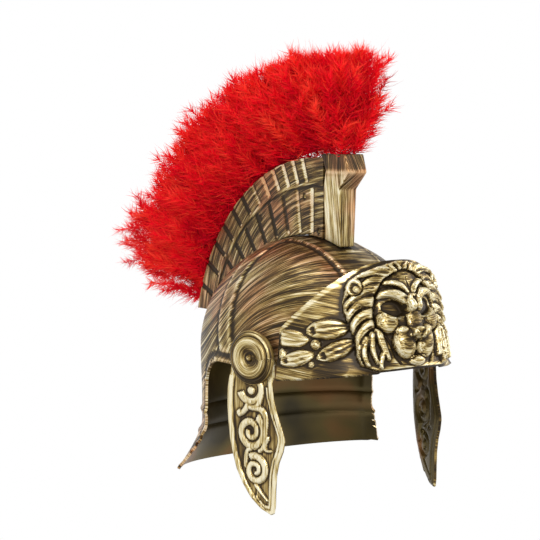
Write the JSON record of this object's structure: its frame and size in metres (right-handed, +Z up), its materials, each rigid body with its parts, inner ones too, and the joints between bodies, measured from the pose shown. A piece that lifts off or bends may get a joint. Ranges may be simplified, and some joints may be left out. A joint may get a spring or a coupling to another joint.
{
  "type": "roman legionary costume helmet",
  "caption": "Crested helmet with a neck guard, a raised brow plate with a lion mask, swinging cheek guards under rosettes and an arched feather plume.",
  "frame": {"origin": "inside of the crown, where the helmet rests on the top of the head", "axes": "+Z up, -Y where the face looks, -X the wearer's right; symmetric about the plane X = 0"},
  "size_m": [0.2366, 0.4784, 0.4107],
  "materials": {
    "antique_gold": "antique gold with dark wash and brushed highlights",
    "dark_gold": "dark gold satin",
    "red_feather": "soft downy feather"
  },
  "bodies": {
    "helmet": {"helmet_shell": "antique_gold", "brow_plate": "antique_gold", "crest_half_right": "antique_gold", "crest_half_left": "antique_gold", "crest_pin_front_upper": "dark_gold", "crest_pin_front_lower": "dark_gold", "crest_pin_middle": "dark_gold", "crest_plume": "red_feather", "rosette_right": "antique_gold", "rosette_left": "antique_gold", "pivot_stud_right": "dark_gold", "pivot_stud_left": "dark_gold"},
    "cheek_right": {"cheek_guard_right": "antique_gold"},
    "cheek_left": {"cheek_guard_left": "antique_gold"}
  },
  "joints": [
    {"name": "cheek_right_swing", "type": "hinge", "parent": "helmet", "child": "cheek_right", "pos_m": [-0.09387, -0.041, -0.0969], "axis": [-0.957, -0.2903, 0], "range_deg": [-30, 10]},
    {"name": "cheek_left_swing", "type": "hinge", "parent": "helmet", "child": "cheek_left", "pos_m": [0.09387, -0.041, -0.0969], "axis": [-0.957, 0.2903, 0], "range_deg": [-30, 10]}
  ]
}
